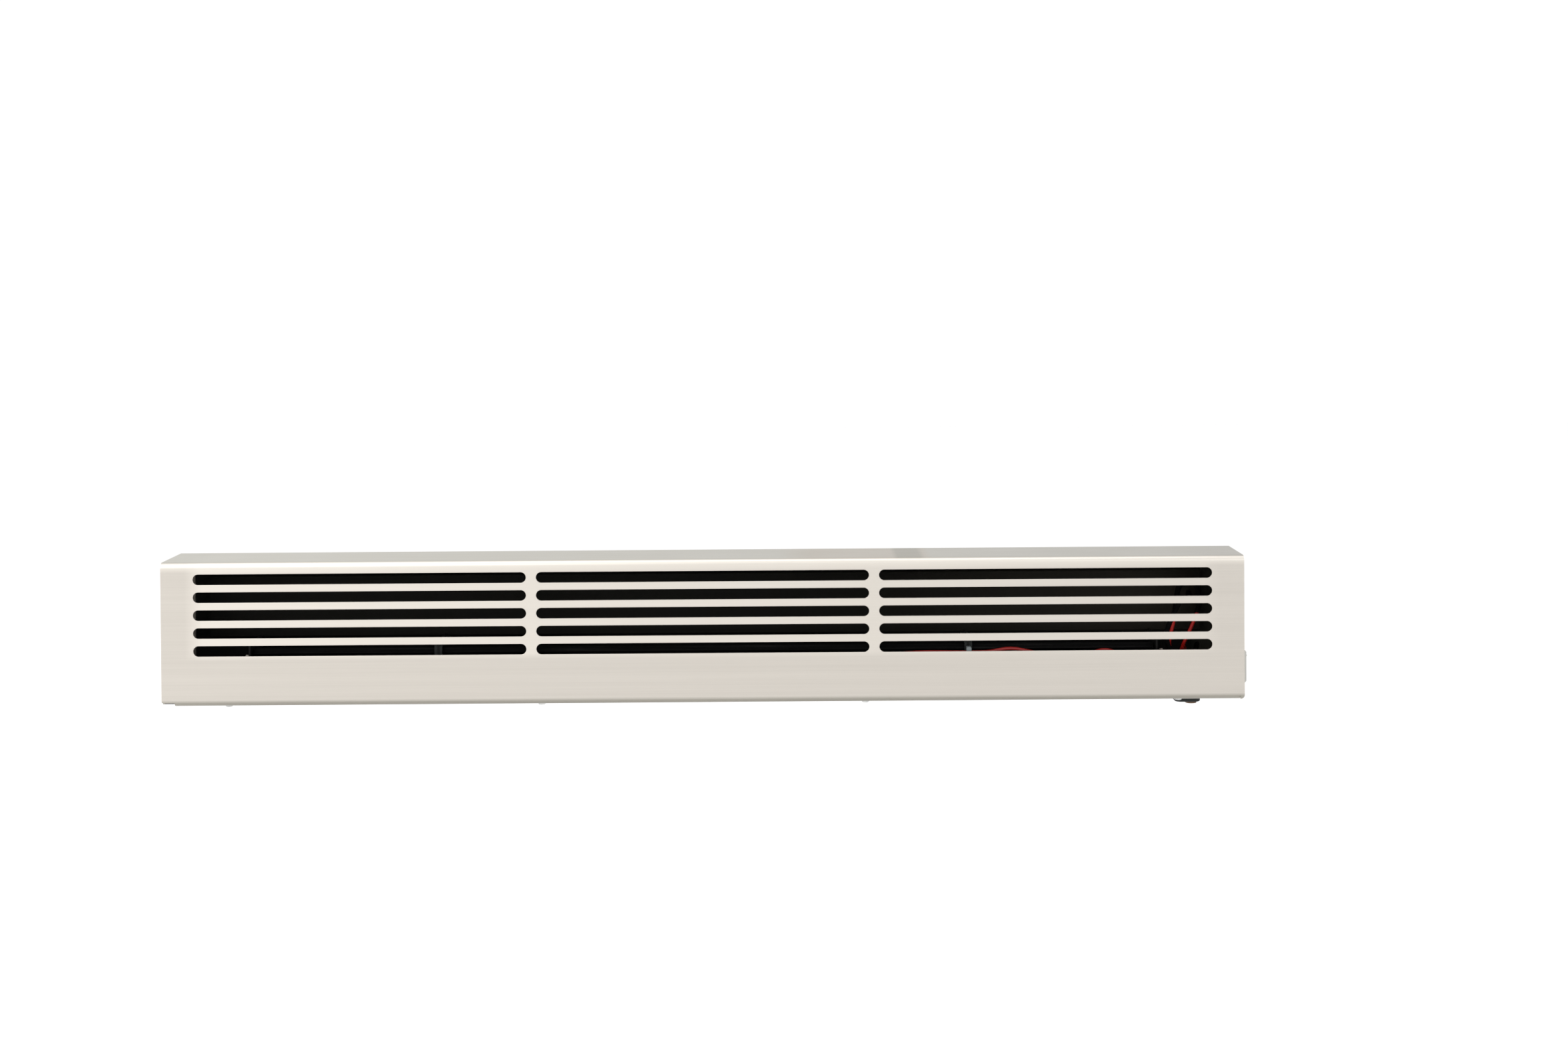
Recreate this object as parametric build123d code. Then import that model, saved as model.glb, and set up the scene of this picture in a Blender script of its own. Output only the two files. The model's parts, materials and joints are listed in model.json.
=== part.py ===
from build123d import *
import os
from math import radians, tan

# A wall-fixed electric baseboard heater, in millimetres. X runs along the heater, the wall is
# the plane y = 0, the face looks along -Y, and z = 0 is half-way up the casing.

# Casing
LENGTH = 1000.0
HEIGHT = 132.7
DEPTH = 70.0
SHEET = 1.2  # stainless cover, end caps and steel back pan
TOP_BEND = 5.2  # outer radii of the cover's folds
BOTTOM_BEND = 4.5
GAP = 0.3  # clearance between the cover and what it closes over
LIP = 16.0  # width of the cover's bottom lip
LIP_RELIEF_LEFT = 12.0
FACE_CORNER_LEFT = 3.2  # how far the face stops short of the underside beside the lip
FACE_CORNER_RIGHT = 0.3
LIP_RELIEF_RIGHT = 4.0
HALF_LENGTH = LENGTH / 2
HALF_HEIGHT = HEIGHT / 2
CORE_HEIGHT = HALF_HEIGHT - SHEET - GAP  # half height of what the cover closes over

# Air outlet slots in the face
SLOT_LENGTH = 307.2
SLOT_HEIGHT = 9.7
SLOT_COLUMN_PITCH = 316.6
SLOT_ROW_PITCH = 16.55
LOWEST_SLOT_Z = -15.4
SLOT_EDGE = 0.35  # rounding of the pressed edges

# Back pan
PAN_HALF_LENGTH = HALF_LENGTH - 2.0
PAN_DEPTH = 66.5
PAN_TOP_FLANGE = 14.0
PAN_FRONT_LIP = 10.0
WALL_HOLE_R = 3.5
WALL_HOLE_X = 350.0
WALL_HOLE_Z = 57.5
INLET_SLOT_LENGTH = 60.0
INLET_SLOT_WIDTH = 12.0
INLET_PITCH = 72.0
INLET_COUNT = 12
INLET_ROWS_Y = (-20.0, -44.0)
PAN_FRONT = -SHEET  # the pan's back wall lies between y = 0 and here
FLOOR_TOP = -CORE_HEIGHT + SHEET

# Air deflector
DEFLECTOR_SHEET = 0.8
DEFLECTOR_HALF_LENGTH = 470.0
DEFLECTOR_TOP = 46.0
DEFLECTOR_BOTTOM = -12.0
DEFLECTOR_STANDOFF = 13.0
DEFLECTOR_FLANGE = 7.5
RIVET_X = (-400.0, -200.0, 0.0, 200.0, 400.0)

# Heating element
ELEMENT_Y = -35.0
ELEMENT_Z = -33.5
BODY_HALF_LENGTH = 418.0
SHEATH_R = 4.1
SHEATH_HALF_LENGTH = 428.0
WING_ANGLE = 38.0
WING_LENGTH = 25.0
WING_SHEET = 2.0
RIB_STEPS = (10.0, 13.8, 17.6, 21.4, 25.0)
RIB_HEIGHT = 5.6
RIB_SHEET = 1.1
TAB_WIDTH = 6.3
TAB_SHEET = 0.8
TAB_LENGTH = 8.0

# Element brackets
END_BRACKET_X = 421.0
MIDDLE_BRACKET_X = 245.0
BRACKET_SHEET = 1.5
BRACKET_FRONT = -62.0
BRACKET_TOP = -9.5
BRACKET_BOTTOM = -62.0
BRACKET_SCREW_Z = (-52.0, -30.0)
FRAME_INNER = (46.0, 38.0)
FRAME_OUTER = (51.0, 43.0)

# Rocker switch on the right end
SWITCH_Y = -50.0
SWITCH_Z = -37.8
BEZEL_HEIGHT = 30.8
BEZEL_WIDTH = 25.0
BEZEL_PROUD = 4.0
BEZEL_ROUNDING = 3.2  # of its lower outer edge
SWITCH_OPENING = (27.8, 21.6)  # height and width of the hole in the end cap
ROCKER_HALF_HEIGHT = 12.0
ROCKER_WIDTH = 18.6
ROCKER_FACE = 6.2  # from the pivot to the ends of the rocker's face
ROCKER_TILT = 8.0  # half of the rocker's travel, in degrees
ROCKER_PIVOT_X = HALF_LENGTH - 3.0
ROCKER_PIN_R = 1.5

# Cable entry under the right end
ENTRY_X = 450.8
ENTRY_Y = -43.0
NIPPLE_X = 455.0
ENTRY_THICKNESS = 7.4
NIPPLE_TIP = -HALF_HEIGHT - 8.2
NIPPLE_R = 5.8
ENTRY_NECK_R = 7.5

# Connections
BLOCK_X = 466.0
POLE_PITCH = 10.0
BLOCK_BOTTOM = -54.0
BLOCK_TOP = -36.0
POLE_Y = -9.0
BLOCK_FRONT = -17.0
CUTOUT_Y = -22.0
CUTOUT_Z = 18.0
STUD_PITCH = 24.0
EARTH_X = 432.0
EARTH_Y = -17.5
CLAMP_X = 452.0
CLAMP_Y = -25.5
CLAMP_SCREW_X = (442.0, 462.0)
BARREL_OFFSET = 1.2  # from the middle of an element tab to its lead
LEAD_D = 3.2
SLEEVED_LEAD_D = 4.6
SLEEVE_D = 5.2  # black sleeving over the top of the arch
SLEEVE_FROM_Z = 9.0
EARTH_LEAD_D = 3.0
FEED_Y = -65.2  # the long lead runs between the element and the cover

COVER_SCREWS_X = (-440.0, -150.0, 150.0, 440.0)
COVER_SCREW_Y = -60.0
CAP_SCREWS_Z = (-40.0, 45.0)
CAP_FLANGE = 13.8
CAP_FLANGE_RELIEF = 4.2  # the flanges stop short of the cover's folds


def block(x, y, z):
    """A box from its lowest and highest x, y and z."""
    size = (x[1] - x[0], y[1] - y[0], z[1] - z[0])
    return Pos(x[0], y[0], z[0]) * Box(*size, align=(Align.MIN, Align.MIN, Align.MIN))


def rod(start, axis, radius, length):
    """A round bar from start along axis."""
    return Plane(origin=start, z_dir=axis) * Cylinder(
        radius, length, align=(Align.CENTER, Align.CENTER, Align.MIN)
    )


def hexagon(start, axis, across_flats, height):
    """A hexagonal prism from start along axis."""
    outline = RegularPolygon(across_flats / 2, 6, major_radius=False)
    return extrude(Plane(origin=start, z_dir=axis) * outline, height)


def fold(path, plane, sheet, radius, side=1):
    """The section of a sheet folded along path, which is its outer line.

    The material lies on the left of the path, or on the right where side is -1. A fold towards
    the material has the given outer radius, and a fold away from it has the matching inner one.
    """
    points = [Vector(*p) for p in path]
    runs = [(b - a).normalized() for a, b in zip(points, points[1:])]
    normals = [Vector(-side * r.Y, side * r.X) for r in runs]
    towards = [side * (a.X * b.Y - a.Y * b.X) > 0 for a, b in zip(runs, runs[1:])]
    corners = [a + b for a, b in zip(normals, normals[1:])]
    offsets = [normals[0], *corners, normals[-1]]
    inner = [p + n * sheet for p, n in zip(points, offsets)]
    outer_radii = [radius if t else radius - sheet for t in towards]
    inner_radii = [radius - sheet if t else radius for t in towards]
    line = FilletPolyline(*points, radius=outer_radii)
    line += FilletPolyline(*inner, radius=inner_radii)
    line += Line(points[0], inner[0])
    line += Line(points[-1], inner[-1])
    return plane * make_face(line)


def fold_along_x(path, x, sheet=SHEET, radius=2.0, side=1):
    """A folded sheet whose section is in Y and Z, from x[0] to x[1]."""
    return extrude(fold(path, Plane.YZ.offset(x[0]), sheet, radius, side), x[1] - x[0])


def fold_along_z(path, z, sheet=SHEET, radius=2.0, side=1):
    """A folded sheet whose section is in X and Y, from z[0] to z[1]."""
    return extrude(fold(path, Plane.XY.offset(z[0]), sheet, radius, side), z[1] - z[0])


def pan_screw(seat, axis, head_r, head_height, shank_r, shank_length):
    """A pan-head screw whose head stands on seat, with its shank along axis."""
    outwards = Vector(*axis) * -1
    head = rod(seat, outwards, head_r, head_height)
    rim = head.edges().sort_by(lambda e: (e.center() - Vector(*seat)).length)[-1]
    head = fillet(rim, 0.6 * head_height)
    slot_size = (1.4 * head_r, 0.7, 0.5 * head_height)
    top = Vector(*seat) + outwards * head_height
    slot = Plane(origin=top, z_dir=outwards) * Box(*slot_size)
    return head + rod(seat, axis, shank_r, shank_length) - slot


def sweep_round(points, diameter):
    """A round bar along points, with every corner as large an arc as its two runs allow."""
    route = [Vector(*p) for p in points]
    radii = []
    for a, b, c in zip(route, route[1:], route[2:]):
        turn = radians((b - a).get_angle(c - b))
        radii.append(0.45 * min((b - a).length, (c - b).length) / tan(turn / 2))
    line = FilletPolyline(*route, radius=radii)
    start = Plane(origin=route[0], z_dir=route[1] - route[0])
    return sweep(start * Circle(diameter / 2), path=line), line.length, min(radii)


def lead(points, diameter):
    """A round lead along points."""
    tube, length, tightest = sweep_round(points, diameter)
    ratio = tube.volume / (Circle(diameter / 2).area * length)
    print(f"lead {length:.0f} mm, tightest {tightest:.1f} mm, volume ratio {ratio:.4f}")
    return tube


def slot_rows():
    """The centre heights of the outlet rows, lowest first."""
    return [LOWEST_SLOT_Z + SLOT_ROW_PITCH * row for row in range(5)]


# Casing


def front_cover():
    """The folded cover: top plate, face with its outlet slots, and bottom lip."""
    bend_start = -HALF_HEIGHT + BOTTOM_BEND + 0.5
    upper = [(-0.4, HALF_HEIGHT), (-DEPTH, HALF_HEIGHT), (-DEPTH, bend_start)]
    lower = [(-DEPTH, bend_start), (-DEPTH, -HALF_HEIGHT), (-DEPTH + LIP, -HALF_HEIGHT)]
    lip_ends = (-HALF_LENGTH + LIP_RELIEF_LEFT, HALF_LENGTH - LIP_RELIEF_RIGHT)
    shell = fold_along_x(upper, (-HALF_LENGTH, HALF_LENGTH), radius=TOP_BEND)
    shell += fold_along_x(lower, lip_ends, radius=BOTTOM_BEND)
    face = (-DEPTH, -DEPTH + SHEET)
    left_end = ((-HALF_LENGTH, lip_ends[0]), -HALF_HEIGHT + FACE_CORNER_LEFT, 1.7)
    right_end = ((lip_ends[1], HALF_LENGTH), -HALF_HEIGHT + FACE_CORNER_RIGHT, 3.6)
    for x, face_bottom, rounding in (left_end, right_end):
        shell += block(x, face, (face_bottom, bend_start))
        corner = shell.edges().filter_by(Axis.Y).filter_by(
            lambda e: abs(e.center().X) > HALF_LENGTH - 0.1 and abs(e.center().Z - face_bottom) < 0.1
        )
        shell = fillet(corner, rounding)
    openings = Sketch() + [
        Pos(column * SLOT_COLUMN_PITCH, z) * SlotOverall(SLOT_LENGTH, SLOT_HEIGHT)
        for column in (-1, 0, 1)
        for z in slot_rows()
    ]
    shell -= extrude(Plane.XZ.offset(DEPTH + 1) * openings, -SHEET - 2)
    top_z = slot_rows()[-1] + SLOT_HEIGHT
    rims = shell.edges().filter_by(
        lambda e: abs(e.bounding_box().max.Y + DEPTH) < 0.001
        and abs(e.center().X) < HALF_LENGTH - 25
        and LOWEST_SLOT_Z - SLOT_HEIGHT < e.center().Z < top_z
    )
    shell = fillet(rims, SLOT_EDGE)
    for x in COVER_SCREWS_X:
        shell -= rod((x, COVER_SCREW_Y, -HALF_HEIGHT - 1), (0, 0, 1), 2.2, SHEET + 2)
    return shell


def cover_hooks():
    """Z-shaped clips under the top plate that catch the pan's top flange."""
    underside = HALF_HEIGHT - SHEET
    step_y = -PAN_TOP_FLANGE - 1.5
    path = [(-40.0, underside), (step_y, underside), (step_y, underside - 4.2), (-4.0, underside - 4.2)]
    hooks = [
        fold_along_x(path, (x - 12.0, x + 12.0), 1.0, 1.4, side=-1)
        for x in (-380.0, -120.0, 120.0, 380.0)
    ]
    return Compound(children=hooks)


def end_cap(side):
    """A sheet end with flanges at the front and back, with side 1 at the right end."""
    outer = HALF_LENGTH - 0.2
    front = -DEPTH + SHEET + GAP
    back = PAN_FRONT - GAP
    height = CORE_HEIGHT - CAP_FLANGE_RELIEF
    path = [(outer - CAP_FLANGE, back), (outer, back), (outer, front), (outer - CAP_FLANGE, front)]
    cap = fold_along_z(path, (-height, height), side=-1)
    plate = (outer - SHEET, outer)
    cap += block(plate, (front + 3.0, back - 3.0), (-CORE_HEIGHT, CORE_HEIGHT))
    for z in CAP_SCREWS_Z:
        cap -= rod((outer - 8.5, back + 1, z), (0, -1, 0), 2.0, SHEET + 2)
    if side > 0:
        high, wide = SWITCH_OPENING
        cap -= block(
            (outer - SHEET - 1, outer + 1),
            (SWITCH_Y - wide / 2, SWITCH_Y + wide / 2),
            (SWITCH_Z - high / 2, SWITCH_Z + high / 2),
        )
        for dz in (-STUD_PITCH / 2, STUD_PITCH / 2):
            cap += rod((outer - SHEET, CUTOUT_Y, CUTOUT_Z + dz), (-1, 0, 0), 1.5, 5.5)
        return cap
    return mirror(cap, about=Plane.YZ)


def end_cap_screws():
    """Short screws that hold each end cap's back flange to the pan."""
    seat_y = PAN_FRONT - GAP - SHEET
    x = HALF_LENGTH - 0.2 - 8.5
    return Compound(children=[
        pan_screw((side * x, seat_y, z), (0, 1, 0), 3.4, 2.0, 1.6, -seat_y - 0.1)
        for side in (-1, 1)
        for z in CAP_SCREWS_Z
    ])


def cover_screws():
    """Screws up through the cover's bottom lip into the pan's floor."""
    return Compound(children=[
        pan_screw((x, COVER_SCREW_Y, -HALF_HEIGHT), (0, 0, 1), 3.5, 2.0, 1.9, 7.0)
        for x in COVER_SCREWS_X
    ])


def chassis():
    """The steel back pan: back wall, top flange, slotted floor and front lip."""
    path = [
        (-PAN_TOP_FLANGE, CORE_HEIGHT),
        (0, CORE_HEIGHT),
        (0, -CORE_HEIGHT),
        (-PAN_DEPTH, -CORE_HEIGHT),
        (-PAN_DEPTH, -CORE_HEIGHT + PAN_FRONT_LIP),
    ]
    pan = fold_along_x(path, (-PAN_HALF_LENGTH, PAN_HALF_LENGTH), side=-1)
    first = -INLET_PITCH * (INLET_COUNT - 1) / 2
    inlets = Sketch() + [
        Pos(first + INLET_PITCH * i, y) * SlotOverall(INLET_SLOT_LENGTH, INLET_SLOT_WIDTH)
        for i in range(INLET_COUNT)
        for y in INLET_ROWS_Y
    ]
    pan -= extrude(Plane.XY.offset(-CORE_HEIGHT - 1) * inlets, SHEET + 2)
    floor_holes = [(x, COVER_SCREW_Y, 1.95) for x in COVER_SCREWS_X]
    floor_holes += [(x, CLAMP_Y, 1.6) for x in CLAMP_SCREW_X]
    floor_holes += [(NIPPLE_X, ENTRY_Y, ENTRY_NECK_R + 0.1)]
    for x, y, r in floor_holes:
        pan -= rod((x, y, -CORE_HEIGHT - 1), (0, 0, 1), r, SHEET + 2)
    wall_holes = [(sx * WALL_HOLE_X, sz * WALL_HOLE_Z, WALL_HOLE_R) for sx in (-1, 1) for sz in (-1, 1)]
    cap_x = HALF_LENGTH - 0.2 - 8.5
    wall_holes += [(sx * cap_x, z, 1.65) for sx in (-1, 1) for z in CAP_SCREWS_Z]
    wall_holes += [(x + 9.0 * s, z, 1.65) for x, s in bracket_places() for z in BRACKET_SCREW_Z]
    wall_holes += [(x, z, 1.65) for x in RIVET_X for z in rivet_rows()]
    wall_holes += [(BLOCK_X + dx, (BLOCK_TOP + BLOCK_BOTTOM) / 2, 1.5) for dx in (-5.0, 5.0)]
    for x, z, r in wall_holes:
        pan -= rod((x, 1, z), (0, -1, 0), r, SHEET + 2)
    pan += rod((EARTH_X, EARTH_Y, FLOOR_TOP), (0, 0, 1), 2.0, 9.0)
    return pan


def rivet_rows():
    """The heights of the two rows of deflector rivets."""
    return (DEFLECTOR_BOTTOM - DEFLECTOR_FLANGE / 2, DEFLECTOR_TOP + DEFLECTOR_FLANGE / 2)


def air_deflector():
    """A hat-section sheet that turns the warm air forwards to the slots."""
    foot = PAN_FRONT - DEFLECTOR_SHEET
    front = -DEFLECTOR_STANDOFF
    path = [
        (foot, DEFLECTOR_TOP + DEFLECTOR_FLANGE),
        (foot, DEFLECTOR_TOP),
        (front, DEFLECTOR_TOP),
        (front, DEFLECTOR_BOTTOM),
        (foot, DEFLECTOR_BOTTOM),
        (foot, DEFLECTOR_BOTTOM - DEFLECTOR_FLANGE),
    ]
    ends = (-DEFLECTOR_HALF_LENGTH, DEFLECTOR_HALF_LENGTH)
    sheet = fold_along_x(path, ends, DEFLECTOR_SHEET, 1.6)
    for x in RIVET_X:
        for z in rivet_rows():
            sheet -= rod((x, 0, z), (0, -1, 0), 1.65, 4.0)
    return sheet


def deflector_rivets():
    """Blind rivets along the deflector's two flanges."""
    seat_y = PAN_FRONT - DEFLECTOR_SHEET
    return Compound(children=[
        rod((x, -0.1, z), (0, -1, 0), 1.6, -seat_y)
        + fillet(rod((x, seat_y, z), (0, -1, 0), 2.6, 0.9).edges().group_by(Axis.Y)[0], 0.6)
        for x in RIVET_X
        for z in rivet_rows()
    ])


# Heating element


def at_element(x):
    """The plane across the element at x, with its X along Y and its Y along Z."""
    return Plane(origin=(x, ELEMENT_Y, ELEMENT_Z), x_dir=(0, 1, 0), z_dir=(1, 0, 0))


def element_body():
    """An extruded X with ribbed wings round the sheath."""
    wing = Pos(WING_LENGTH / 2, 0) * Rectangle(WING_LENGTH, WING_SHEET)
    wing += [Pos(step - RIB_SHEET / 2, 0) * Rectangle(RIB_SHEET, RIB_HEIGHT) for step in RIB_STEPS]
    section = Sketch() + Circle(SHEATH_R + 3.4)
    for angle in (WING_ANGLE, 180 - WING_ANGLE, 180 + WING_ANGLE, -WING_ANGLE):
        section += Rot(0, 0, angle) * wing
    section -= Circle(SHEATH_R + 0.1)
    return extrude(at_element(-BODY_HALF_LENGTH) * section, 2 * BODY_HALF_LENGTH)


def element_core():
    """The sheathed heating rod."""
    start = (-SHEATH_HALF_LENGTH, ELEMENT_Y, ELEMENT_Z)
    return rod(start, (1, 0, 0), SHEATH_R, 2 * SHEATH_HALF_LENGTH)


def element_end_seals():
    """Ceramic cups over the ends of the rod, round the terminal pins."""
    seals = []
    for side in (-1, 1):
        start = (side * (SHEATH_HALF_LENGTH - 1.2), ELEMENT_Y, ELEMENT_Z)
        seal = rod(start, (side, 0, 0), 6.2, 7.0)
        seal += rod((start[0] + side * 1.0, ELEMENT_Y, ELEMENT_Z), (side, 0, 0), 8.4, 2.4)
        seal -= rod(start, (side, 0, 0), SHEATH_R + 0.05, 1.3)
        seal -= rod(start, (side, 0, 0), 1.6, 8.0)
        seals.append(seal)
    return Compound(children=seals)


def tab_range():
    """The nearest and farthest x of the right-hand terminal tab."""
    return (SHEATH_HALF_LENGTH + 6.0, SHEATH_HALF_LENGTH + 6.0 + TAB_LENGTH)


def element_terminals():
    """A pin and a flat tab at each end of the rod."""
    near, far = tab_range()
    pin = rod((SHEATH_HALF_LENGTH + 0.1, ELEMENT_Y, ELEMENT_Z), (1, 0, 0), 1.5, 6.2)
    tab = block(
        (near, far),
        (ELEMENT_Y - TAB_SHEET / 2, ELEMENT_Y + TAB_SHEET / 2),
        (ELEMENT_Z - TAB_WIDTH / 2, ELEMENT_Z + TAB_WIDTH / 2),
    )
    right = pin + tab
    return Compound(children=[right, mirror(right, about=Plane.YZ)])


def bracket_places():
    """Where each bracket stands and which way its foot points along X, from the left."""
    return [
        (-END_BRACKET_X, 1),
        (-MIDDLE_BRACKET_X, -1),
        (MIDDLE_BRACKET_X, 1),
        (END_BRACKET_X, -1),
    ]


def is_end_bracket(x):
    return abs(x) > (END_BRACKET_X + MIDDLE_BRACKET_X) / 2


def element_bracket(x, side):
    """A folded hanger: a foot on the back wall and a plate across the element."""
    foot_y = PAN_FRONT
    path = [(x + 15.0 * side, foot_y), (x, foot_y), (x, BRACKET_FRONT)]
    hanger = fold_along_z(path, (BRACKET_BOTTOM, BRACKET_TOP), BRACKET_SHEET, 2.5, side=side)
    wide = (x - 20.0, x + 20.0)
    clear_top = DEFLECTOR_BOTTOM - DEFLECTOR_FLANGE - 2.0
    hanger -= block(wide, (-DEFLECTOR_STANDOFF - 2.0, 1.0), (clear_top, 0.0))
    if is_end_bracket(x):
        hanger -= rod((x - 10, ELEMENT_Y, ELEMENT_Z), (1, 0, 0), 6.1, 20)
    else:
        window = RectangleRounded(FRAME_OUTER[0] + 0.2, FRAME_OUTER[1] + 0.2, 3.1)
        hanger -= extrude(at_element(x - 10) * window, 20)
    for z in BRACKET_SCREW_Z:
        hanger -= rod((x + 9.0 * side, 0, z), (0, -1, 0), 1.9, 4)
    return hanger


def bracket_screws():
    """Two screws through each bracket's foot into the back wall."""
    seat_y = PAN_FRONT - BRACKET_SHEET
    return Compound(children=[
        pan_screw((x + 9.0 * side, seat_y, z), (0, 1, 0), 3.2, 1.9, 1.6, -seat_y - 0.1)
        for x, side in bracket_places()
        for z in BRACKET_SCREW_Z
    ])


def bracket_bushes():
    """Flanged ceramic sleeves round the rod in the end brackets."""
    bushes = []
    for x, side in bracket_places():
        if is_end_bracket(x):
            middle = x + side * BRACKET_SHEET / 2
            outwards = -side
            bush = rod((middle - outwards * 2.0, ELEMENT_Y, ELEMENT_Z), (outwards, 0, 0), 6.0, 6.6)
            bush += rod((x + outwards * 0.1, ELEMENT_Y, ELEMENT_Z), (outwards, 0, 0), 7.0, 2.6)
            bush -= rod((middle - 8.0, ELEMENT_Y, ELEMENT_Z), (1, 0, 0), SHEATH_R + 0.05, 16.0)
            bushes.append(bush)
    return Compound(children=bushes)


def element_frames():
    """Moulded frames round the element in the middle brackets."""
    ring = RectangleRounded(*FRAME_OUTER, 3.0) - RectangleRounded(*FRAME_INNER, 1.0)
    return Compound(children=[
        extrude(at_element(x + side * BRACKET_SHEET / 2 - 3.5) * ring, 7.0)
        for x, side in bracket_places()
        if not is_end_bracket(x)
    ])


def lead_clips():
    """Clips on the middle brackets' front edges that carry the long lead."""
    clips = []
    for x, side in bracket_places():
        if is_end_bracket(x):
            continue
        plate = sorted((x, x + side * BRACKET_SHEET))
        middle = sum(plate) / 2
        clip = block((middle - 2.2, middle + 2.2), (-68.2, -60.6), (-27.5, clip_top(x)))
        clip = fillet(clip.edges().filter_by(Axis.Y).group_by(Axis.Z)[-1], 1.2)
        clip -= rod((middle - 5.0, FEED_Y, clip_height(x)), (1, 0, 0), LEAD_D / 2 + 0.15, 10.0)
        clip -= block((plate[0] - 0.05, plate[1] + 0.05), (BRACKET_FRONT - 0.05, -60.0), (-30.0, -10.0))
        clip -= extrude(at_element(middle - 5.0) * RectangleRounded(*(FRAME_OUTER[0] + 0.4, 44.0), 3.0), 10)
        clips.append(clip)
    return Compound(children=clips)


def clip_height(x):
    """The height of the long lead in the clip at x."""
    return -21.9 if x > 0 else -24.6


def clip_top(x):
    return clip_height(x) + (5.2 if x > 0 else 2.4)


# Switch


def switch_bezel():
    """The switch's housing: a raised collar outside and a hollow body inside."""
    outside = HALF_LENGTH - 0.2
    collar = extrude(
        Plane(origin=(outside, SWITCH_Y, SWITCH_Z), x_dir=(0, 1, 0), z_dir=(1, 0, 0))
        * RectangleRounded(BEZEL_WIDTH, BEZEL_HEIGHT, 1.5),
        BEZEL_PROUD,
    )
    rim = collar.edges().group_by(Axis.X)[-1]
    lower = rim.filter_by(Axis.Y).sort_by(Axis.Z)[0]
    collar = fillet(lower, BEZEL_ROUNDING)
    high, wide = (size - 0.3 for size in SWITCH_OPENING)
    body = block(
        (outside - 22.0, outside),
        (SWITCH_Y - wide / 2, SWITCH_Y + wide / 2),
        (SWITCH_Z - high / 2, SWITCH_Z + high / 2),
    )
    well_high = 2 * ROCKER_HALF_HEIGHT + 2.4
    well_wide = ROCKER_WIDTH + 0.6
    well = block(
        (outside - 12.0, outside + 10.0),
        (SWITCH_Y - well_wide / 2, SWITCH_Y + well_wide / 2),
        (SWITCH_Z - well_high / 2, SWITCH_Z + well_high / 2),
    )
    pivot = (ROCKER_PIVOT_X, SWITCH_Y - wide / 2 + 0.5, SWITCH_Z)
    housing = collar + body - well - rod(pivot, (0, 1, 0), ROCKER_PIN_R + 0.05, wide - 1.0)
    for z in switch_tab_heights():
        housing -= block(
            (outside - 23.0, outside - 11.0),
            (SWITCH_Y - 3.2, SWITCH_Y + 3.2),
            (z - 0.45, z + 0.45),
        )
    return housing


def switch_tab_heights():
    return (SWITCH_Z - 6.5, SWITCH_Z + 6.5)


def switch_rocker():
    """A two-position rocker on two side pins, with its lower half pressed in."""
    outline = Polyline(
        (-4.0, -4.0),
        (0.8, -11.8),
        (ROCKER_FACE, -ROCKER_HALF_HEIGHT),
        (ROCKER_FACE - 0.9, 0.0),
        (ROCKER_FACE, ROCKER_HALF_HEIGHT),
        (0.8, 11.8),
        (-4.0, 4.0),
        close=True,
    )
    body = extrude(Plane.XZ * make_face(outline), ROCKER_WIDTH / 2, both=True)
    edges = body.edges().filter_by(Axis.Y).filter_by(lambda e: e.center().X > ROCKER_FACE - 0.1)
    body = fillet(edges, 0.9)
    body = fillet(body.faces().filter_by(Axis.Y).edges().filter_by(lambda e: e.center().X > 3.0), 0.4)
    pin_start = (0, -ROCKER_WIDTH / 2 - 0.8, 0)
    body += rod(pin_start, (0, 1, 0), ROCKER_PIN_R, ROCKER_WIDTH + 1.6)
    return Pos(ROCKER_PIVOT_X, SWITCH_Y, SWITCH_Z) * Rot(0, ROCKER_TILT, 0) * body


def switch_tabs():
    """The switch's two flat terminals."""
    back = HALF_LENGTH - 0.2 - 22.0
    return Compound(children=[
        block((back - 8.0, back + 9.0), (SWITCH_Y - 3.15, SWITCH_Y + 3.15), (z - 0.4, z + 0.4))
        for z in switch_tab_heights()
    ])


# Cable entry


def cable_entry_flange():
    """The moulded entry under the floor, with its neck up through it."""
    under = -CORE_HEIGHT
    plate = Plane.XY.offset(under) * Pos(ENTRY_X, ENTRY_Y) * RectangleRounded(24.0, 20.0, 6.0)
    flange = extrude(plate, -ENTRY_THICKNESS)
    flange = fillet(flange.edges().group_by(Axis.Z)[0], 1.2)
    flange += rod((NIPPLE_X, ENTRY_Y, under), (0, 0, 1), ENTRY_NECK_R, 10.0)
    return flange - rod((NIPPLE_X, ENTRY_Y, under - 8.0), (0, 0, 1), NIPPLE_R + 0.1, 20.0)


def cable_entry_locknut():
    """The nut on the neck inside the floor."""
    nut = hexagon((NIPPLE_X, ENTRY_Y, FLOOR_TOP), (0, 0, 1), 20.0, 4.0)
    return nut - rod((NIPPLE_X, ENTRY_Y, FLOOR_TOP - 1), (0, 0, 1), ENTRY_NECK_R + 0.05, 6.0)


def cable_entry_seal():
    """A rubber nipple, closed by a thin skin until a cable is pushed through it."""
    shoulder = -CORE_HEIGHT - ENTRY_THICKNESS - 0.3
    top = -CORE_HEIGHT + 9.0
    seal = rod((NIPPLE_X, ENTRY_Y, shoulder), (0, 0, 1), NIPPLE_R, top - shoulder)
    cone = Cone(4.8, NIPPLE_R, shoulder - NIPPLE_TIP, align=(Align.CENTER, Align.CENTER, Align.MIN))
    seal += Pos(NIPPLE_X, ENTRY_Y, NIPPLE_TIP) * cone
    seal = fillet(seal.edges().group_by(Axis.Z)[0], 0.9)
    return seal - rod((NIPPLE_X, ENTRY_Y, shoulder + 0.4), (0, 0, 1), 3.8, 20.0)


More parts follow.
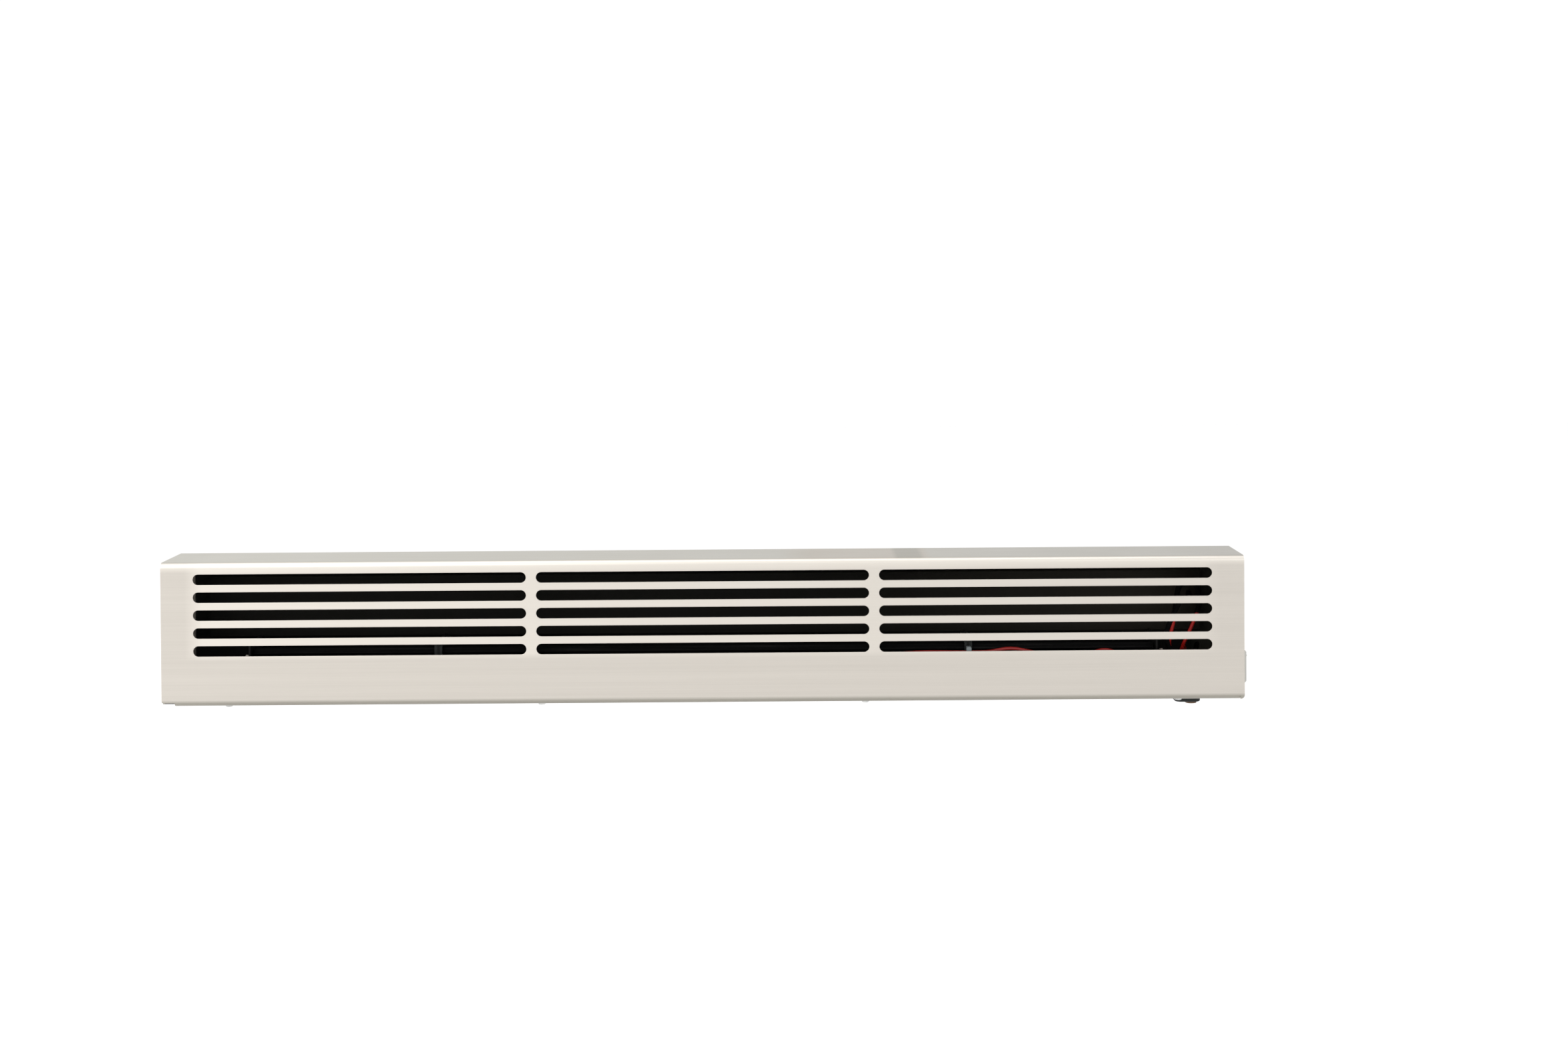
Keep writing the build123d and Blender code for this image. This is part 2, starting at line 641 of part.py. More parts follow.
def cable_clamp():
    """The saddle that grips the supply cable on the floor."""
    section = Pos(0, 1.0) * Rectangle(28.0, 2.0) + Pos(0, 2.0) * Circle(6.2)
    section -= Pos(0, 2.0) * Circle(4.4)
    section &= Pos(0, 10.0) * Rectangle(40.0, 20.0)
    place = Plane(origin=(CLAMP_X, CLAMP_Y + 4.5, FLOOR_TOP), x_dir=(1, 0, 0), z_dir=(0, -1, 0))
    clamp = extrude(place * section, 9.0)
    for x in CLAMP_SCREW_X:
        clamp -= rod((x, CLAMP_Y, FLOOR_TOP - 1), (0, 0, 1), 1.8, 6.0)
    return clamp


def clamp_screws():
    return Compound(children=[
        pan_screw((x, CLAMP_Y, FLOOR_TOP + 2.0), (0, 0, -1), 3.0, 1.8, 1.5, 3.1)
        for x in CLAMP_SCREW_X
    ])


# Connections


def pole_places():
    return [BLOCK_X + POLE_PITCH * i for i in (-1, 0, 1)]


def pole_screw_heights():
    return (BLOCK_BOTTOM + 4.0, BLOCK_TOP - 4.0)


def terminal_block():
    """A three-pole block on the back wall."""
    body = block((BLOCK_X - 16.0, BLOCK_X + 16.0), (BLOCK_FRONT, PAN_FRONT), (BLOCK_BOTTOM, BLOCK_TOP))
    body = fillet(body.edges().group_by(Axis.Y)[0], 0.8)
    for x in pole_places():
        body -= rod((x, POLE_Y, BLOCK_BOTTOM - 1), (0, 0, 1), 2.9, 20.0)
        for z in pole_screw_heights():
            body -= rod((x, BLOCK_FRONT - 1, z), (0, 1, 0), 2.4, 6.5)
    for dx in (-5.0, 5.0):
        body -= rod((BLOCK_X + dx, -30, (BLOCK_TOP + BLOCK_BOTTOM) / 2), (0, 1, 0), 1.6, 40.0)
    return body


def terminal_inserts():
    """The brass tubes that take the wires."""
    inserts = []
    for x in pole_places():
        tube = rod((x, POLE_Y, BLOCK_BOTTOM + 1), (0, 0, 1), 2.8, 16.0)
        tube -= rod((x, POLE_Y, BLOCK_BOTTOM), (0, 0, 1), 1.8, 20.0)
        for z in pole_screw_heights():
            tube -= rod((x, POLE_Y, z), (0, -1, 0), 1.4, 5.0)
        inserts.append(tube)
    return Compound(children=inserts)


def terminal_screws():
    return Compound(children=[
        pan_screw((x, POLE_Y - 4.0, z), (0, 1, 0), 2.2, 2.4, 1.3, 1.9)
        for x in pole_places()
        for z in pole_screw_heights()
    ])


def block_screws():
    middle = (BLOCK_TOP + BLOCK_BOTTOM) / 2
    return Compound(children=[
        pan_screw((BLOCK_X + dx, BLOCK_FRONT, middle), (0, 1, 0), 2.6, 1.7, 1.4, -BLOCK_FRONT - 0.1)
        for dx in (-5.0, 5.0)
    ])


def cutout_inner():
    """The x of the end cap's inner face, where the cut-out is fixed."""
    return HALF_LENGTH - 0.2 - SHEET


def cutout_cap():
    """The metal cap and fixing ears of the overheat cut-out."""
    face = cutout_inner()
    ears = Rectangle(7.0, STUD_PITCH) + [Pos(0, s * STUD_PITCH / 2) * Circle(3.5) for s in (-1, 1)]
    ears += Circle(8.4)
    ears -= [Pos(0, s * STUD_PITCH / 2) * Circle(1.6) for s in (-1, 1)]
    place = Plane(origin=(face, CUTOUT_Y, CUTOUT_Z), x_dir=(0, 1, 0), z_dir=(-1, 0, 0))
    return extrude(place * ears, 0.8) + rod((face - 0.8, CUTOUT_Y, CUTOUT_Z), (-1, 0, 0), 8.2, 3.4)


def cutout_body():
    """The moulded body of the overheat cut-out."""
    start = cutout_inner() - 4.2
    body = rod((start, CUTOUT_Y, CUTOUT_Z), (-1, 0, 0), 7.8, 10.0)
    body = fillet(body.edges().group_by(Axis.X)[0], 0.8)
    for y in cutout_tab_places():
        body -= block((start - 11.0, start - 5.0), (y - 0.45, y + 0.45), (CUTOUT_Z - 3.2, CUTOUT_Z + 3.2))
    return body


def cutout_tab_places():
    return (CUTOUT_Y - 4.0, CUTOUT_Y + 4.0)


def cutout_tabs():
    back = cutout_inner() - 14.2
    return Compound(children=[
        block((back - 8.0, back + 4.8), (y - 0.4, y + 0.4), (CUTOUT_Z - 3.15, CUTOUT_Z + 3.15))
        for y in cutout_tab_places()
    ])


def cutout_nuts():
    start = cutout_inner() - 0.8
    return Compound(children=[
        hexagon((start, CUTOUT_Y, CUTOUT_Z + dz), (-1, 0, 0), 5.5, 2.4)
        - rod((start + 1, CUTOUT_Y, CUTOUT_Z + dz), (-1, 0, 0), 1.55, 6.0)
        for dz in (-STUD_PITCH / 2, STUD_PITCH / 2)
    ])


def earth_ring():
    """The ring terminal of the earth lead, flat on the floor round the stud."""
    ring = extrude(Plane.XY.offset(FLOOR_TOP) * Pos(EARTH_X, EARTH_Y) * Circle(4.2), 0.8)
    ring += block((EARTH_X, EARTH_X + 5.5), (EARTH_Y - 1.9, EARTH_Y + 1.9), (FLOOR_TOP, FLOOR_TOP + 0.8))
    barrel = (EARTH_X + 5.0, EARTH_Y, FLOOR_TOP + 2.0)
    ring += rod(barrel, (1, 0, 0), 2.0, 6.0)
    return ring - rod((EARTH_X, EARTH_Y, FLOOR_TOP - 1), (0, 0, 1), 2.1, 4.0)


def earth_washer():
    base = (EARTH_X, EARTH_Y, FLOOR_TOP + 0.8)
    return rod(base, (0, 0, 1), 4.0, 0.8) - rod(base, (0, 0, 1), 2.1, 2.0)


def earth_nut():
    base = (EARTH_X, EARTH_Y, FLOOR_TOP + 1.6)
    return hexagon(base, (0, 0, 1), 7.0, 3.2) - rod(base, (0, 0, 1), 2.05, 5.0)


def flag_receptacle(side, up):
    """A receptacle on an element tab, with its barrel up, or down where up is -1."""
    near, far = tab_range()
    sleeve = block(
        (near + 0.6, far + 1.0),
        (ELEMENT_Y - 1.3, ELEMENT_Y + 1.3),
        (ELEMENT_Z - 3.8, ELEMENT_Z + 3.8),
    )
    sleeve -= block(
        (near, far + 0.1),
        (ELEMENT_Y - TAB_SHEET / 2 - 0.05, ELEMENT_Y + TAB_SHEET / 2 + 0.05),
        (ELEMENT_Z - TAB_WIDTH / 2 - 0.05, ELEMENT_Z + TAB_WIDTH / 2 + 0.05),
    )
    barrel_x = (near + far) / 2 - BARREL_OFFSET
    sleeve += rod((barrel_x, ELEMENT_Y, ELEMENT_Z + up * 3.7), (0, 0, up), 2.2, 6.1)
    return sleeve if side > 0 else mirror(sleeve, about=Plane.YZ)


def straight_receptacle(tip, tab_axis):
    """A receptacle pushed on to a tab whose tip points along -X, thin along tab_axis."""
    x, y, z = tip
    thin, wide = (1.3, 3.8)
    half_y, half_z = (thin, wide) if tab_axis == "y" else (wide, thin)
    hole_y, hole_z = (0.45, 3.2) if tab_axis == "y" else (3.2, 0.45)
    sleeve = block((x - 1.0, x + 6.0), (y - half_y, y + half_y), (z - half_z, z + half_z))
    sleeve -= block((x - 0.1, x + 7.0), (y - hole_y, y + hole_y), (z - hole_z, z + hole_z))
    return sleeve + rod((x - 1.0, y, z), (-1, 0, 0), 2.3, 5.0)


def switch_tip(row):
    """The tip of the switch's lower (0) or upper (1) tab."""
    return (HALF_LENGTH - 0.2 - 30.0, SWITCH_Y, switch_tab_heights()[row])


def cutout_tip(row):
    """The tip of the cut-out's front (0) or back (1) tab."""
    return (cutout_inner() - 22.2, cutout_tab_places()[row], CUTOUT_Z)


def receptacles():
    """Crimped receptacles on every flat tab."""
    return Compound(children=[
        flag_receptacle(1, 1),
        flag_receptacle(-1, -1),
        *[straight_receptacle(switch_tip(row), "z") for row in (0, 1)],
        *[straight_receptacle(cutout_tip(row), "y") for row in (0, 1)],
    ])


def barrel_end(tip):
    """Where a lead leaves the straight receptacle on the tab with this tip."""
    return (tip[0] - 6.0, tip[1], tip[2])


def element_lead_route():
    """From the element's right terminal up, over in an arch and down to the first pole."""
    near, far = tab_range()
    start_x = (near + far) / 2 - BARREL_OFFSET
    return [
        (start_x, ELEMENT_Y, ELEMENT_Z + 9.8),
        (start_x, ELEMENT_Y, -15.0),
        (start_x + 3.4, -36.0, -3.0),
        (442.2, -37.0, 13.0),
        (445.0, -38.5, 36.0),
        (460.5, -39.0, 41.0),
        (465.5, -38.0, 18.0),
        (458.5, -37.0, -2.0),
        (448.5, -36.5, -23.0),
        (448.5, -26.0, -33.0),
        (pole_places()[0], POLE_Y, -25.0),
        (pole_places()[0], POLE_Y, BLOCK_TOP - 3.0),
    ]


def element_lead():
    return lead(element_lead_route(), LEAD_D)


def lead_sleeve():
    """Black sleeving over the top of the element lead's arch."""
    outer, *_ = sweep_round(element_lead_route(), SLEEVE_D)
    bore, *_ = sweep_round(element_lead_route(), LEAD_D + 0.1)
    above = block((430.0, 480.0), (-50.0, -25.0), (SLEEVE_FROM_Z, 60.0))
    return (outer - bore) & above


def feed_lead():
    """From the cut-out down to the front of the element and along it to its left terminal."""
    near, far = tab_range()
    left_x = BARREL_OFFSET - (near + far) / 2
    start = barrel_end(cutout_tip(0))
    return lead([
        start,
        (461.5, start[1], start[2] + 0.4),
        (458.4, -34.0, 20.4),
        (458.4, -47.0, 22.4),
        (466.0, -58.5, 24.2),
        (476.0, FEED_Y + 0.4, 24.6),
        (476.6, FEED_Y, 8.0),
        (476.2, FEED_Y, -17.0),
        (466.0, FEED_Y, -26.5),
        (430.0, FEED_Y, -26.8),
        (387.0, FEED_Y, -24.6),
        (371.0, FEED_Y, -19.6),
        (356.0, FEED_Y, -24.6),
        (312.0, FEED_Y, -24.0),
        (285.0, FEED_Y, -17.8),
        (264.0, FEED_Y, clip_height(1) + 0.1),
        (252.0, FEED_Y, clip_height(1)),
        (238.0, FEED_Y, clip_height(1) - 0.02),
        (202.0, FEED_Y, -21.2),
        (160.0, FEED_Y, -24.4),
        (92.0, FEED_Y, -24.8),
        (20.0, FEED_Y, -24.0),
        (-62.0, FEED_Y, -24.9),
        (-150.0, FEED_Y, -24.2),
        (-212.0, FEED_Y, -24.9),
        (-239.0, FEED_Y, clip_height(-1)),
        (-253.0, FEED_Y, clip_height(-1) - 0.02),
        (-290.0, FEED_Y, -24.0),
        (-330.0, FEED_Y, -23.6),
        (-378.0, FEED_Y, -27.0),
        (-424.0, FEED_Y, -41.0),
        (-437.0, -58.5, -52.0),
        (left_x, -46.0, -60.0),
        (left_x, ELEMENT_Y, -56.0),
        (left_x, ELEMENT_Y, ELEMENT_Z - 9.8),
    ], LEAD_D)


def switch_load_lead():
    """From the switch's upper tab up in front of the arch and across to the cut-out."""
    start = barrel_end(switch_tip(1))
    end = barrel_end(cutout_tip(1))
    return lead([
        start,
        (447.0, start[1], start[2]),
        (434.0, -51.5, -25.0),
        (430.0, -52.0, -8.0),
        (438.0, -51.0, 10.0),
        (445.0, -49.0, 22.0),
        (453.0, -43.0, 25.0),
        (455.5, -31.0, 27.0),
        (458.0, -20.5, 24.5),
        (459.5, end[1], end[2]),
        end,
    ], SLEEVED_LEAD_D)


def switch_supply_lead():
    """From the middle pole forwards to the switch's lower tab."""
    end = barrel_end(switch_tip(0))
    return lead([
        (pole_places()[1], POLE_Y, BLOCK_TOP - 3.0),
        (pole_places()[1], POLE_Y, -26.0),
        (466.5, -20.0, -22.5),
        (463.0, -33.0, -26.0),
        (456.0, -42.0, -35.0),
        (452.0, end[1], end[2]),
        end,
    ], LEAD_D)


def earth_lead():
    """From the earth ring up into the last pole from below."""
    pole = pole_places()[2]
    return lead([
        (EARTH_X + 11.0, EARTH_Y, FLOOR_TOP + 2.0),
        (458.0, EARTH_Y, FLOOR_TOP + 2.0),
        (470.0, -12.5, FLOOR_TOP + 2.6),
        (pole, POLE_Y, -60.0),
        (pole, POLE_Y, BLOCK_BOTTOM + 4.0),
    ], EARTH_LEAD_D)


NODES = {
    "front_cover": front_cover,
    "cover_hooks": cover_hooks,
    "cover_screws": cover_screws,
    "left_end_cap": lambda: end_cap(-1),
    "right_end_cap": lambda: end_cap(1),
    "end_cap_screws": end_cap_screws,
    "chassis": chassis,
    "air_deflector": air_deflector,
    "deflector_rivets": deflector_rivets,
    "element_body": element_body,
    "element_core": element_core,
    "element_end_seals": element_end_seals,
    "element_terminals": element_terminals,
    "bracket_bushes": bracket_bushes,
    "element_frames": element_frames,
    "bracket_screws": bracket_screws,
    "lead_clips": lead_clips,
    "switch_bezel": switch_bezel,
    "switch_rocker": switch_rocker,
    "switch_tabs": switch_tabs,
    "cable_entry_flange": cable_entry_flange,
    "cable_entry_locknut": cable_entry_locknut,
    "cable_entry_seal": cable_entry_seal,
    "cable_clamp": cable_clamp,
    "clamp_screws": clamp_screws,
    "terminal_block": terminal_block,
    "terminal_inserts": terminal_inserts,
    "terminal_screws": terminal_screws,
    "block_screws": block_screws,
    "cutout_cap": cutout_cap,
    "cutout_body": cutout_body,
    "cutout_tabs": cutout_tabs,
    "cutout_nuts": cutout_nuts,
    "earth_ring": earth_ring,
    "earth_washer": earth_washer,
    "earth_nut": earth_nut,
    "receptacles": receptacles,
    "element_lead": element_lead,
    "lead_sleeve": lead_sleeve,
    "feed_lead": feed_lead,
    "switch_load_lead": switch_load_lead,
    "switch_supply_lead": switch_supply_lead,
    "earth_lead": earth_lead,
}

os.makedirs("parts", exist_ok=True)
for name, make in NODES.items():
    export_step(make(), f"parts/{name}.step")
for number, (x, side) in enumerate(bracket_places(), start=1):
    export_step(element_bracket(x, side), f"parts/element_bracket_{number}.step")
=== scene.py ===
import json
from math import pi, radians

import bpy
import numpy as np
from mathutils import Matrix, Vector


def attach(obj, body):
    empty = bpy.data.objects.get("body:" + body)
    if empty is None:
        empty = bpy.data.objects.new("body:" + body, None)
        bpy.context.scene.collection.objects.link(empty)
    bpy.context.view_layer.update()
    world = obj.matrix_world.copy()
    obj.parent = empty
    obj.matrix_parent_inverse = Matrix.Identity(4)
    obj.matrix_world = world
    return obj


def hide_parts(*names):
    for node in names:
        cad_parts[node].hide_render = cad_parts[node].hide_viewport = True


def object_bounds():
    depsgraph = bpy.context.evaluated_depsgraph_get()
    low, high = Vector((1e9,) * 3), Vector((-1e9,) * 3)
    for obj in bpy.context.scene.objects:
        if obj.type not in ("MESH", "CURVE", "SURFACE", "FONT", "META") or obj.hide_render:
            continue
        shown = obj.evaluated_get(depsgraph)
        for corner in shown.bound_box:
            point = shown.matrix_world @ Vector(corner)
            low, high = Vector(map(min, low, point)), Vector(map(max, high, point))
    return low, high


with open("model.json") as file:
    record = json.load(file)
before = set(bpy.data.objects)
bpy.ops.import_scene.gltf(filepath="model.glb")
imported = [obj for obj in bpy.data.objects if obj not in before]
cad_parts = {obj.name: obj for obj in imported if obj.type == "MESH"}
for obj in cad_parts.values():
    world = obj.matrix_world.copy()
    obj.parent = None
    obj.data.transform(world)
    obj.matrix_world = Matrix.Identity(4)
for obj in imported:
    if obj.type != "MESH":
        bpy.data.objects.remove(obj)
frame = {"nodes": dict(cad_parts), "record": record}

nodes = frame["nodes"]
scene = bpy.context.scene
cad_low, cad_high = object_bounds()

# ---------------------------------------------------------------- camera and studio

CAMERA_PLACE = (0.0756, -2.0614, 0.3359)
CAMERA_PITCH = 0.0112
CAMERA_YAW = -0.0008
CAMERA_ROLL = -0.0072
CAMERA_LENS = 49.64
SENSOR_WIDTH = 36.0
CAMERA_SHIFT_Y = -0.1462  # the lens is lowered, so that upright edges stay upright
FLOOR_DROP = 0.19  # the heater hangs on a wall, this far above the floor
FLOOR_HALF = 6.0
SURROUND_STRENGTH = 1.06

# name, place, aim, size, power in watts and colour of each soft light
LIGHTS = (
    ("key", (-1.6, -2.0, 1.6), (0.0, 0.0, 0.0), (1.8, 1.4), 26.0, (1.0, 0.985, 0.96)),
    ("fill", (1.7, -1.6, 0.9), (0.1, 0.0, 0.0), (1.6, 1.2), 9.0, (0.97, 0.985, 1.0)),
    ("top", (0.0, -0.2, 1.9), (0.0, 0.0, 0.0), (2.4, 1.0), 9.0, (1.0, 1.0, 1.0)),
)


def make_camera():
    """A level camera turned by its yaw, pitch and roll, in that order from the world outwards."""
    data = bpy.data.cameras.new("camera")
    data.lens = CAMERA_LENS
    data.sensor_width = SENSOR_WIDTH
    data.shift_y = CAMERA_SHIFT_Y
    camera = bpy.data.objects.new("camera", data)
    scene.collection.objects.link(camera)
    turn = Matrix.Rotation(CAMERA_YAW, 4, "Z") @ Matrix.Rotation(pi / 2 - CAMERA_PITCH, 4, "X")
    turn = turn @ Matrix.Rotation(CAMERA_ROLL, 4, "Z")
    camera.matrix_world = Matrix.Translation(CAMERA_PLACE) @ turn
    scene.camera = camera


def area_light(name, place, aim, size, power, colour):
    """A soft rectangular light at place that faces aim."""
    data = bpy.data.lights.new(name, "AREA")
    data.shape = "RECTANGLE"
    data.size, data.size_y = size
    data.energy = power
    data.color = colour
    light = bpy.data.objects.new(name, data)
    light.location = place
    light.rotation_euler = (Vector(aim) - Vector(place)).to_track_quat("-Z", "Y").to_euler()
    scene.collection.objects.link(light)


def make_studio():
    """An even white surround, a pale floor and three soft lights."""
    scene.view_settings.view_transform = "Standard"
    world = bpy.data.worlds.new("surround")
    world.use_nodes = True
    background = world.node_tree.nodes["Background"]
    background.inputs["Color"].default_value = (1.0, 1.0, 1.0, 1.0)
    background.inputs["Strength"].default_value = SURROUND_STRENGTH
    scene.world = world
    for light in LIGHTS:
        area_light(*light)
    half, z = FLOOR_HALF, cad_low.z - FLOOR_DROP
    floor = bpy.data.meshes.new("floor")
    floor.from_pydata(
        [(-half, -half, z), (half, -half, z), (half, half, z), (-half, half, z)], [], [(0, 1, 2, 3)]
    )
    ground = bpy.data.objects.new("floor", floor)
    scene.collection.objects.link(ground)
    ground.data.materials.append(floor_material())


# ---------------------------------------------------------------- materials

# Where the cover's tint and painted light change, in metres. Each pair is where a change starts and
# is full.
ALONG = (-0.55, 0.65)  # x of the slow darkening from left to right
SLOTS_FOOT = (-0.0245, -0.0195)  # z under the lowest slots
SLOTS_SIDE = (0.478, 0.462)  # distance from the middle, at the ends of the slots
WEBS_FADE = (0.75, -0.75)  # x over which the painted highlight on the webs fades out towards the right
UPPER_FOLD_HIGHLIGHT_FROM, UPPER_FOLD_HIGHLIGHT_TO = (0.0570, 0.0630), (0.0664, 0.0645)  # z of the painted highlight round the upper fold
TOP_REFLECTION_FROM, TOP_REFLECTION_TO = (0.070, 0.100), (0.212, 0.206)  # x of a brownish painted reflection on the top plate
DARK_REFLECTION_FROM, DARK_REFLECTION_TO = (0.176, 0.181), (0.206, 0.201)  # x of a darker painted reflection in it
TOP_PLATE = (0.0655, 0.0663)  # z where the top plate's painted reflection starts and is full
LOWER_FOLD = (-0.0605, -0.0632)  # z where the painted shade round the lower fold starts and is full
ELEMENT_FRONT = (-0.0560, -0.0620)  # y where the leads get painted shade, in front of the element
WEAVE = 5200.0  # radians per metre of the sleeving's threads
STRIPE = 900.0  # radians per metre of the earth lead's stripe


def shaded(colour, factor, lift=0.0):
    """The colour times a factor, plus a lift."""
    return tuple(factor * v + lift for v in colour)


class Shade:
    """A node material under construction, with short calls for the nodes that repeat."""

    def __init__(self, name):
        self.material = bpy.data.materials.new(name)
        self.material.use_nodes = True
        self.tree = self.material.node_tree
        self.shader = self.tree.nodes["Principled BSDF"]
        self.place = self.tree.nodes.new("ShaderNodeTexCoord").outputs["Object"]

    def set(self, **values):
        """Constants on the shader's own sockets."""
        for socket, value in values.items():
            self.shader.inputs[socket.replace("_", " ")].default_value = value

    def link(self, output, socket):
        """An output into one of the shader's sockets."""
        self.tree.links.new(output, self.shader.inputs[socket])

    def scaled(self, scale):
        """The place on the object, in cycles per metre along each axis."""
        mapping = self.tree.nodes.new("ShaderNodeMapping")
        mapping.inputs["Scale"].default_value = scale
        self.tree.links.new(self.place, mapping.inputs["Vector"])
        return mapping.outputs["Vector"]

    def noise(self, scale, detail=3.0, roughness=0.5):
        """Noise of about 0.3 to 0.7, with scale cycles per metre along each axis."""
        node = self.tree.nodes.new("ShaderNodeTexNoise")
        node.inputs["Scale"].default_value = 1.0
        node.inputs["Detail"].default_value = detail
        node.inputs["Roughness"].default_value = roughness
        self.tree.links.new(self.scaled(scale), node.inputs["Vector"])
        return node.outputs["Fac"]

    def ramp(self, value, stops):
        """The colour at value on a ramp of (position, colour) stops."""
        node = self.tree.nodes.new("ShaderNodeValToRGB")
        while len(node.color_ramp.elements) < len(stops):
            node.color_ramp.elements.new(0.5)
        for element, (place, colour) in zip(node.color_ramp.elements, stops):
            element.position = place
            element.color = (*colour, 1.0)
        self.tree.links.new(value, node.inputs["Fac"])
        return node.outputs["Color"]

    def spread(self, value, low, high):
        """A value of 0.3 to 0.7 spread to low to high."""
        node = self.tree.nodes.new("ShaderNodeMapRange")
        sockets = ("From Min", "From Max", "To Min", "To Max")
        for socket, number in zip(sockets, (0.3, 0.7, low, high)):
            node.inputs[socket].default_value = number
        self.tree.links.new(value, node.inputs["Value"])
        return node.outputs["Result"]

    def between(self, value, start, end):
        """0 where value is at start, 1 at end, and a straight line clamped between them."""
        node = self.tree.nodes.new("ShaderNodeMapRange")
        node.inputs["From Min"].default_value = start
        node.inputs["From Max"].default_value = end
        self.tree.links.new(value, node.inputs["Value"])
        return node.outputs["Result"]

    def band(self, value, rise, fall):
        """1 between rise and fall, and 0 outside them."""
        return self.maths("MULTIPLY", self.between(value, *rise), self.between(value, *fall))

    def maths(self, kind, a, b):
        """A math node of two numbers or outputs."""
        node = self.tree.nodes.new("ShaderNodeMath")
        node.operation = kind
        for socket, value in zip(node.inputs, (a, b)):
            if isinstance(value, (int, float)):
                socket.default_value = value
            else:
                self.tree.links.new(value, socket)
        return node.outputs["Value"]

    def mix(self, factor, a, b):
        """Colour a at factor 0 and colour b at factor 1."""
        node = self.tree.nodes.new("ShaderNodeMix")
        node.data_type = "RGBA"
        for socket, value in ((0, factor), (6, a), (7, b)):
            if isinstance(value, (int, float)):
                node.inputs[socket].default_value = value
            elif isinstance(value, tuple):
                node.inputs[socket].default_value = (*value, 1.0)
            else:
                self.tree.links.new(value, node.inputs[socket])
        return node.outputs[2]

    def over(self, tint, where, strength, colour):
        """The tint with colour laid over it, by strength times where."""
        return self.mix(self.maths("MULTIPLY", where, strength), tint, colour)

    def split(self):
        """The x, y and z of the place on the object."""
        node = self.tree.nodes.new("ShaderNodeSeparateXYZ")
        self.tree.links.new(self.place, node.inputs["Vector"])
        return node.outputs

    def bump(self, height, strength, distance, after=None):
        """A bump of height, on top of the bump after."""
        node = self.tree.nodes.new("ShaderNodeBump")
        node.inputs["Strength"].default_value = strength
        node.inputs["Distance"].default_value = distance
        self.tree.links.new(height, node.inputs["Height"])
        if after is not None:
            self.tree.links.new(after, node.inputs["Normal"])
        return node.outputs["Normal"]


def floor_material():
    """Matt white paper, very slightly uneven."""
    s = Shade("paper_floor")
    s.set(Roughness=0.9)
    stops = [(0.3, (0.93, 0.93, 0.93)), (0.7, (0.95, 0.95, 0.95))]
    s.link(s.ramp(s.noise((0.6, 0.6, 0.6)), stops), "Base Color")
    return s.material


def cover_painted_light(s, tint, pale, along, x, z):
    """The tint with painted highlights, a painted reflection and painted shade, by place on the
    cover.
    """
    aside = s.maths("ABSOLUTE", x, 0.0)
    # painted highlight on the webs between the slots, strongest at the left
    webs = s.maths("MULTIPLY", s.between(z, *SLOTS_FOOT), s.between(aside, *SLOTS_SIDE))
    painted_web_highlight = s.maths("MULTIPLY", webs, s.between(x, *WEBS_FADE))
    tint = s.over(tint, painted_web_highlight, 0.85, shaded(pale, 1.20))
    # painted highlight round the upper fold, brighter to the left
    painted_fold_highlight = s.mix(along, shaded(pale, 1.25), shaded(pale, 1.10))
    tint = s.over(tint, s.band(z, UPPER_FOLD_HIGHLIGHT_FROM, UPPER_FOLD_HIGHLIGHT_TO), 0.8, painted_fold_highlight)
    # painted reflection on the top plate: paler to the left, with a brownish band and a darker
    # patch
    painted_top_reflection = s.mix(along, (0.490, 0.475, 0.420), (0.360, 0.347, 0.317))
    painted_top_reflection = s.over(painted_top_reflection, s.band(x, TOP_REFLECTION_FROM, TOP_REFLECTION_TO), 0.7, (0.405, 0.365, 0.310))
    painted_top_reflection = s.over(painted_top_reflection, s.band(x, DARK_REFLECTION_FROM, DARK_REFLECTION_TO), 0.75, (0.27, 0.26, 0.22))
    tint = s.over(tint, s.between(z, *TOP_PLATE), 0.9, painted_top_reflection)
    # painted shade round the lower fold
    return s.over(tint, s.between(z, *LOWER_FOLD), 0.9, (0.29, 0.275, 0.24))


def brushed_steel(name, pale, deep, rough):
    """Satin steel with fine lines along X, and painted light by place on the cover.

    The lines are noise squeezed hard across their run: wide streaks tint the metal, and fine ones
    set its roughness and its bump. A slow noise gives the smudges of handling. The tint has a
    painted reflection on the top plate and painted shade round the lower fold, and a painted
    highlight round the upper fold and between the slots.
    """
    s = Shade(name)
    lines = s.noise((5.0, 900.0, 900.0), detail=4.0, roughness=0.6)
    streaks = s.noise((0.8, 130.0, 130.0), detail=3.0)
    smudges = s.noise((9.0, 9.0, 14.0), detail=4.0, roughness=0.6)
    tint = s.mix(s.spread(streaks, 0.25, 0.75), deep, pale)
    x, _, z = s.split()
    along = s.between(x, *ALONG)
    tint = s.over(tint, along, 0.34, shaded(deep, 0.78))
    tint = s.mix(s.spread(lines, 0.0, 0.08), tint, shaded(deep, 0.62))
    s.link(cover_painted_light(s, tint, pale, along, x, z), "Base Color")
    s.set(Metallic=1.0)
    uneven = s.spread(lines, rough - 0.05, rough + 0.05)
    s.link(s.maths("ADD", uneven, s.spread(smudges, -0.04, 0.04)), "Roughness")
    s.link(s.bump(smudges, 0.10, 0.0012, s.bump(lines, 0.16, 0.00004)), "Normal")
    return s.material


